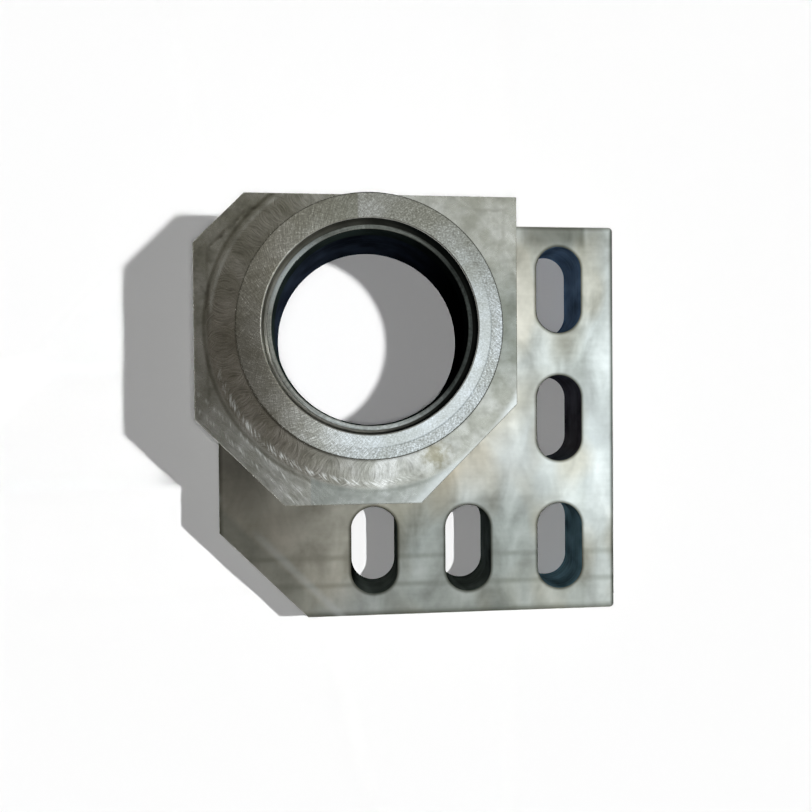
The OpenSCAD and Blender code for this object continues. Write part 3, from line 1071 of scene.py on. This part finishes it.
# %% The face-milled underside
face_milled, tree, shader, place = start_metal("face_milled_steel")
split = add(tree, "SeparateXYZ", {0: place})
mill_radius = 42
pass_pitch = 74
pass_start = 43
within = {0: split.outputs["Y"], 1: pass_start, 2: pass_start - pass_pitch}
within = add(tree, "Math", within, operation="WRAP")
sideways = add(tree, "Math", {0: within, 1: pass_start - pass_pitch / 2}, operation="SUBTRACT")
square = add(tree, "Math", {0: sideways, 1: sideways}, operation="MULTIPLY")
inside = add(tree, "Math", {0: mill_radius**2, 1: square}, operation="SUBTRACT")
bulge = add(tree, "Math", {0: inside}, operation="SQRT")
feed = add(tree, "Math", {0: split.outputs["X"], 1: bulge}, operation="ADD")
arc_place = add(tree, "CombineXYZ", {"X": feed})
arcs = stretched_noise(tree, arc_place, 0.9, within, 60)
clouds = add(tree, "TexNoise", {"Vector": place, "Scale": 0.06, "Detail": 3})
tone = add(tree, "Mix", {0: 0.4, 2: arcs, 3: clouds})
tone = add(tree, "MapRange", {0: tone, 1: 0.35, 2: 0.65})
colour = add(tree, "ValToRGB", {0: tone}, stops=[(0, "#8b8a84"), (1, "#cacac5"), (0.5, "#adada7")])
gloss = add(tree, "MapRange", {0: tone, 3: 0.38, 4: 0.26})
finish_metal(tree, shader, colour, gloss, arcs, 0.03)


def on_underside(face):
    """A test for the face that the housing stands on."""
    return face.normal.z < -0.9 and face.calc_center_median().z < nearly


count = paint(housing, face_milled, on_underside)
print("underside:", count, "faces,", len(tree.nodes), "nodes")

# %% [markdown]
# The floor is matt white paper. It takes the shadow and shows no reflection, and it fills the view, so it
# is the background too. It isn't part of the object.

# %% The floor
paper_tone = 0.88
bpy.ops.mesh.primitive_plane_add(size=6, location=(0, 0, 0))
floor = bpy.context.object
floor.name = "floor"
paper = bpy.data.materials.new("matt_paper")
paper.use_nodes = True
shader = paper.node_tree.nodes["Principled BSDF"]
shader.inputs["Base Color"].default_value = (paper_tone, paper_tone, paper_tone, 1)
shader.inputs["Roughness"].default_value = 1
shader.inputs["Specular IOR Level"].default_value = 0
floor.data.materials.append(paper)
print("floor of", round(floor.dimensions.x), "m")

# %% [markdown]
# Bare metal shows its surroundings, so the room round the part matters more than the lamps on it. The room
# is pale at the horizon and dimmer overhead. A wide window overhead, a little to the right, fills the right
# half of the part with light, and its left edge is where the boss turns dark. The camera darkens the
# ceiling on the left. A direction is read as a slope: how far it goes sideways for each metre up. The white
# floor would drown in so much light, so the room is hidden from it, and only the metal sees it.

# %% The room as a world
world = bpy.data.worlds.new("studio")
bpy.context.scene.world = world
world.use_nodes = True
world.cycles_visibility.diffuse = False
tree = world.node_tree
direction = add(tree, "TexCoord", {}).outputs["Generated"]
split = add(tree, "SeparateXYZ", {0: direction})
rise = split.outputs["Z"]
slope_x = add(tree, "Math", {0: split.outputs["X"], 1: rise}, operation="DIVIDE")
slope_y = add(tree, "Math", {0: split.outputs["Y"], 1: rise}, operation="DIVIDE")
slope = add(tree, "CombineXYZ", {"X": slope_x, "Y": slope_y})
dark_way = (-0.25, -0.07, 0)
from_dark = add(tree, "VectorMath", {0: slope, 1: dark_way}, operation="DISTANCE")
brighter = add(tree, "MapRange", {0: from_dark, 1: 0.17, 2: 0.6})
ceiling = {0: brighter, 6: (0.12, 0.113, 0.105, 1), 7: (0.66, 0.67, 0.64, 1)}
ceiling = add(tree, "Mix", ceiling, data_type="RGBA")
window = 1.0
for value, start, end in (
    (slope_x, -0.1, -0.055),
    (slope_x, 0.75, 0.5),
    (slope_y, 0.36, 0.09),
    (slope_y, -0.32, -0.16),
):
    side = add(tree, "MapRange", {0: value, 1: start, 2: end}, interpolation_type="SMOOTHSTEP")
    window = add(tree, "Math", {0: side, 1: window}, operation="MULTIPLY")
lit = add(tree, "Mix", {0: window, 6: ceiling, 7: (1.47, 1.56, 1.63, 1)}, data_type="RGBA")
upwards = add(tree, "MapRange", {0: rise, 1: 0.05, 2: 0.4}, interpolation_type="SMOOTHSTEP")
sky = add(tree, "Mix", {0: upwards, 6: (0.95, 0.95, 0.95, 1), 7: lit}, data_type="RGBA")
tree.links.new(sky.outputs[2], tree.nodes["Background"].inputs["Color"])
print("world:", len(tree.nodes), "nodes")

# %% [markdown]
# The key lamps stand on the right, so the shadow falls to the left. Eight of them share the floor as if
# each had barn doors: one lights the ground below the bore, five the ground on the left from the back to
# the front, and two all the rest, with the ground below the slots. A zone is what lies above or below some
# limits: in X or Y, in the distance from the bore axis, on a way square to the back left bevel, or on one
# side of a slanting line. The zones meet under the part or where no border shows. A weak lamp at the lens
# has no zone and lights all that the camera sees. A node works out where a ray reaches the floor, and
# another makes the lamp stronger towards the sides, by one over the cosine cubed, which lights a flat floor
# evenly. None of the lamps is seen in the metal.

# %% The lamps and their zones
white_level = 0.985
lens_level = 0.222
wide_level = 0.085
key_level = white_level - lens_level - wide_level
least_cosine = 0.07
line_slope = 0.24
over = "GREATER_THAN"
under = "LESS_THAN"
left = ("slant", under, -45)
right = ("slant", over, -45)
off_bore = ("bore", over, 45)
lamps = {
    "bore key": ((241, 8, 540), 12, key_level + 0.07, [("bore", under, 45)]),
    "bevel key": ((74.3, 16.3, 231), 5, key_level, [left, ("bevel", over, 120)]),
    "left key": ((172.7, -2.7, 362), 5, key_level, [left, ("Y", over, -10), ("bevel", under, 120)]),
    "side key": ((175.2, 11.5, 362), 5, key_level, [left, ("Y", under, -10), ("Y", over, -56)]),
    "corner key": ((274, -60, 362), 5, key_level, [left, ("Y", under, -56), ("Y", over, -97)]),
    "end key": ((202, -2.4, 362), 5, key_level, [left, ("Y", under, -97)]),
    "row key": ((1730, -20, 3000), 5, key_level, [right, off_bore, ("X", under, 58)]),
    "far key": ((1850, -20, 3000), 5, key_level, [right, off_bore, ("X", over, 58)]),
    "lens light": (tuple(camera_place / MM), 8, lens_level, []),
}
for name, (stand, radius_mm, level, zone) in lamps.items():
    bpy.ops.object.light_add(type="POINT", location=Vector(stand) * MM)
    lamp = bpy.context.object
    lamp.name = name
    lamp.data.shadow_soft_size = radius_mm * MM
    lamp.data.energy = level / paper_tone * 4 * math.pi**2 * (stand[2] * MM) ** 2
    lamp.data.use_nodes = True
    lamp.visible_glossy = False
    lamp.visible_camera = False
    tree = lamp.data.node_tree
    way = add(tree, "TexCoord", {}).outputs["Normal"]
    steep = add(tree, "SeparateXYZ", {0: way}).outputs["Z"]
    cosine = add(tree, "Math", {0: steep}, operation="ABSOLUTE")
    cosine = add(tree, "Math", {0: cosine, 1: least_cosine}, operation="MAXIMUM")
    strength = add(tree, "Math", {0: cosine, 1: -3.0}, operation="POWER")
    fall = add(tree, "Math", {0: -stand[2], 1: steep}, operation="DIVIDE")
    aside = add(tree, "VectorMath", {0: way, "Scale": fall}, operation="SCALE")
    spot = add(tree, "VectorMath", {0: aside, 1: stand}, operation="ADD")
    from_bore = add(tree, "VectorMath", {0: spot}, operation="LENGTH")
    x, y, _ = add(tree, "SeparateXYZ", {0: spot}).outputs
    slanting = add(tree, "Math", {0: y, 1: line_slope, 2: x}, operation="MULTIPLY_ADD")
    beyond_bevel = add(tree, "Math", {0: y, 1: x}, operation="SUBTRACT")
    values = {"X": x, "Y": y, "bore": from_bore, "slant": slanting, "bevel": beyond_bevel}
    for what, side, limit in zone:
        door = add(tree, "Math", {0: values[what], 1: limit}, operation=side)
        strength = add(tree, "Math", {0: strength, 1: door}, operation="MULTIPLY")
    tree.links.new(strength.outputs[0], tree.nodes["Emission"].inputs["Strength"])
    print(name, "lights", zone)

# %% [markdown]
# A sun as wide as the sky lightens the open shadows. It hardly reaches into the bore and the slots, so the
# shadow on the open floor is the lighter one.

# %% The fill light
bpy.ops.object.light_add(type="SUN", location=(0, 0, 1))
fill = bpy.context.object
fill.name = "wide fill"
fill.data.energy = wide_level / paper_tone * math.pi
fill.data.angle = math.radians(170)
fill.visible_glossy = False
print("levels: key", round(key_level, 3), "lens", lens_level, "wide", wide_level)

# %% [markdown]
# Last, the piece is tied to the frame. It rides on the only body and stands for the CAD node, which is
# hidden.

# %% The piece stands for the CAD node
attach(housing, "root")
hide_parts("housing")
bpy.context.scene.view_settings.view_transform = "Standard"
print("materials on the piece:", [slot.name for slot in housing.data.materials])
